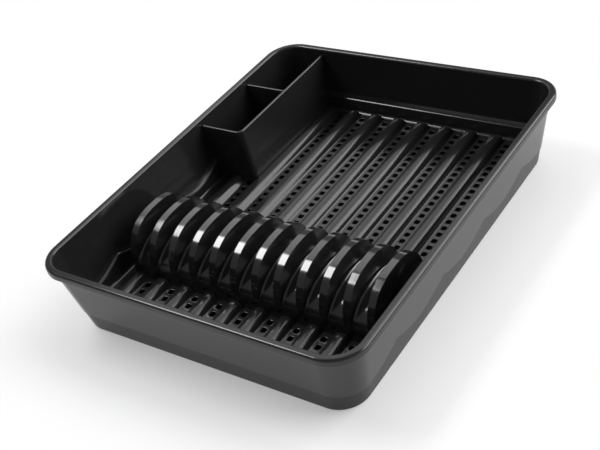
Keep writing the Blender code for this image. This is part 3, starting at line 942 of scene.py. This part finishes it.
class Finish:
    """A node tree being laid out, for a material or the world."""

    def __init__(self, owner):
        owner.use_nodes = True
        self.owner = owner
        self.tree = owner.node_tree
        self.tree.nodes.clear()

    def node(self, kind, settings, inputs, output=0):
        made = self.tree.nodes.new(kind)
        for key, setting in settings.items():
            setattr(made, key, setting)
        for key, given in inputs.items():
            if isinstance(given, Signal):
                self.tree.links.new(given.socket, made.inputs[key])
            else:
                made.inputs[key].default_value = given
        return Signal(self, made.outputs[output]) if len(made.outputs) else None

    def place(self):
        return self.node("ShaderNodeTexCoord", {}, {}, "Object")

    def stretched(self, scale):
        inputs = {"Vector": self.place(), "Scale": scale}
        return self.node("ShaderNodeMapping", {"vector_type": "POINT"}, inputs)

    def cloud(self, where, scale, detail=2.0, roughness=0.5):
        inputs = {"Vector": where, "Scale": scale, "Detail": detail, "Roughness": roughness}
        return self.node("ShaderNodeTexNoise", {}, inputs)

    def blend(self, share, first, second):
        settings = {"data_type": "RGBA", "clamp_factor": True}
        inputs = {0: share, 6: (*first, 1.0), 7: (*second, 1.0)}
        return self.node("ShaderNodeMix", settings, inputs, 2)


def moulded_plastic(name, colour, pale, gloss, refraction, polish, grain_scale, grain_depth, scuff):
    """Moulded plastic: cloudy gloss, fine mould grain, faint flow streaks, hairline scuffs and dust."""
    finish = Finish(bpy.data.materials.new(name))
    where = finish.place()
    drift = finish.cloud(where, DRIFT_SCALE, 3.0)
    grain = finish.cloud(where, grain_scale, 2.0, 0.6)
    flow = finish.cloud(finish.stretched(FLOW_STRETCH), 1.0, 3.0)
    hair = finish.cloud(finish.stretched(HAIR_STRETCH), 1.0, 2.0)
    cross_hair = finish.cloud(finish.stretched(CROSS_HAIR_STRETCH), 1.0, 2.0)
    marks = (hair.ramp(*HAIR_LEVELS) + cross_hair.ramp(*CROSS_HAIR_LEVELS)).clamp() * scuff
    specks = finish.cloud(where, DUST_SCALE, 4.0, 0.7).ramp(*DUST_LEVELS)
    dust = specks * drift.ramp(*DUSTY_PATCH_LEVELS)
    shade_share = (drift * 0.5 + dust * 0.35 + marks * 0.25).clamp()
    tone = finish.blend(shade_share, colour, pale)
    roughness = (gloss + (drift - 0.5) * 0.10 + (flow - 0.5) * 0.06 + marks * 0.10 + dust * 0.08).clamp()
    height = grain * grain_depth + marks * 0.25 * scuff
    bump = {"Strength": 1.0, "Distance": GRAIN_HEIGHT, "Height": height}
    normal = finish.node("ShaderNodeBump", {}, bump)
    shader = finish.node("ShaderNodeBsdfPrincipled", {}, {
        "Base Color": tone, "Roughness": roughness, "Normal": normal, "IOR": refraction,
        "Coat Weight": polish, "Coat Roughness": COAT_ROUGHNESS, "Coat IOR": COAT_REFRACTION,
    })
    finish.node("ShaderNodeOutputMaterial", {}, {"Surface": shader})
    return finish.owner


def soft_rubber(name):
    """Matt, slightly dusty rubber."""
    finish = Finish(bpy.data.materials.new(name))
    where = finish.place()
    grain = finish.cloud(where, RUBBER_GRAIN_SCALE, 3.0, 0.6)
    dust = finish.cloud(where, RUBBER_DUST_SCALE, 4.0, 0.7).ramp(*RUBBER_DUST_LEVELS)
    tone = finish.blend(dust * 0.5, RUBBER_COLOUR, RUBBER_DUSTY)
    roughness = (RUBBER_ROUGHNESS + (grain - 0.5) * 0.2).clamp()
    bump = {"Strength": 1.0, "Distance": RUBBER_GRAIN_HEIGHT, "Height": grain}
    normal = finish.node("ShaderNodeBump", {}, bump)
    shader = finish.node("ShaderNodeBsdfPrincipled", {}, {
        "Base Color": tone, "Roughness": roughness, "Normal": normal,
    })
    finish.node("ShaderNodeOutputMaterial", {}, {"Surface": shader})
    return finish.owner


def pale_floor():
    """Matt white floor that keeps the shadow. It turns white away from the rack, where seen or mirrored."""
    finish = Finish(bpy.data.materials.new("studio_floor"))
    where = finish.place()
    x = finish.node("ShaderNodeSeparateXYZ", {}, {0: where}, "X")
    y = Signal(finish, x.socket.node.outputs["Y"])
    beside_x = (x.math("ABSOLUTE") - RIM_WIDTH_X / 2).math("MAXIMUM", 0.0)
    beside_y = (y.math("ABSOLUTE") - RIM_LENGTH_Y / 2).math("MAXIMUM", 0.0)
    away = (beside_x * beside_x + beside_y * beside_y) ** 0.5
    lift = away.ramp(0.0, WHITE_REACH) * (1.0 - FLOOR_LIFT) + FLOOR_LIFT
    tooth = finish.cloud(where, TOOTH_SCALE, 2.0)
    tone = finish.blend(tooth, FLOOR_COLOUR, FLOOR_PALE)
    matt = finish.node("ShaderNodeBsdfDiffuse", {}, {"Color": tone})
    white = finish.node("ShaderNodeEmission", {}, {"Color": WHITE, "Strength": 1.0})
    camera_ray = finish.node("ShaderNodeLightPath", {}, {}, "Is Camera Ray")
    rays = camera_ray.socket.node.outputs
    seen = camera_ray + Signal(finish, rays["Is Glossy Ray"]) + Signal(finish, rays["Is Transmission Ray"])
    shader = finish.node("ShaderNodeMixShader", {}, {0: seen.clamp() * lift, 1: matt, 2: white})
    finish.node("ShaderNodeOutputMaterial", {}, {"Surface": shader})
    return finish.owner


def dress(piece, material):
    piece.data.materials.clear()
    piece.data.materials.append(material)


# ---- studio --------------------------------------------------------------------------------------


def add_floor():
    """A level floor with a low upright backdrop along each of its four edges."""
    mesh = bpy.data.meshes.new("studio_floor")
    corners = [(x * STUDIO_HALF, y * STUDIO_HALF, z) for z in (0.0, BACKDROP_HEIGHT)
               for x, y in ((-1, -1), (1, -1), (1, 1), (-1, 1))]
    backdrops = [(side, side + 4, (side + 1) % 4 + 4, (side + 1) % 4) for side in range(4)]
    mesh.from_pydata(corners, [], [(0, 1, 2, 3), *backdrops])
    floor = new_object("studio_floor", mesh)
    dress(floor, pale_floor())


def soft_lamp(name, place, across, size, brightness):
    """A rectangular lamp at place that faces the rack, its long side along across."""
    data = bpy.data.lights.new(name, "AREA")
    data.shape = "RECTANGLE"
    data.size, data.size_y = size
    data.energy = brightness * math.pi * size[0] * size[1]
    back = Vector(place).normalized()
    narrow = Vector(across).cross(back).normalized()
    long = back.cross(narrow)
    lamp = new_object(name, data)
    lamp.matrix_world = Matrix.Translation(place) @ Matrix((long, narrow, back)).transposed().to_4x4()


def add_lights():
    for lamp in LAMPS:
        soft_lamp(*lamp)
    world = bpy.data.worlds.new("studio")
    bpy.context.scene.world = world
    finish = Finish(world)
    background = finish.node("ShaderNodeBackground", {}, {"Color": WHITE, "Strength": AMBIENT})
    finish.node("ShaderNodeOutputWorld", {}, {"Surface": background})


def add_camera():
    heading, dip = math.radians(CAMERA_HEADING), math.radians(CAMERA_DIP)
    level_x, level_y = -math.sin(heading) * math.cos(dip), math.cos(heading) * math.cos(dip)
    forward = Vector((level_x, level_y, -math.sin(dip)))
    level = forward.cross(Vector((0.0, 0.0, 1.0))).normalized()
    upright = level.cross(forward)
    roll = math.radians(CAMERA_ROLL)
    right = level * math.cos(roll) + upright * math.sin(roll)
    up = right.cross(forward)
    data = bpy.data.cameras.new("camera")
    data.sensor_width = CAMERA_SENSOR
    data.lens = CAMERA_LENS
    data.clip_start = CAMERA_NEAREST
    camera = new_object("camera", data)
    turn = Matrix((right, up, -forward)).transposed().to_4x4()
    camera.matrix_world = Matrix.Translation(CAMERA_PLACE) @ turn
    bpy.context.scene.camera = camera


def main():
    add_camera()
    plastics = {name: moulded_plastic(name, **look) for name, look in PLASTICS.items()}
    rubber = soft_rubber("pad_rubber")
    rows = [
        (make_basin(), "rack_basin", "basin", plastics["basin_black"], "basin_plastic"),
        (make_tray(), "drip_tray", "tray", plastics["tray_black"], "tray_plastic"),
        (make_plate_rack(), "plate_rack", "plates", plastics["gloss_black"], "insert_plastic"),
        (make_divider(), "cutlery_divider", "divider", plastics["satin_black"], "insert_plastic"),
    ]
    for name, pad in make_pads().items():
        rows.append((pad, "foot_" + name, "tray", rubber, "pad_rubber"))
    for piece, node, body, material, slot in rows:
        dress(piece, material)
        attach(piece, body)
        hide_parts(node)
    add_floor()
    add_lights()
    bpy.context.scene.view_settings.view_transform = "Standard"


main()
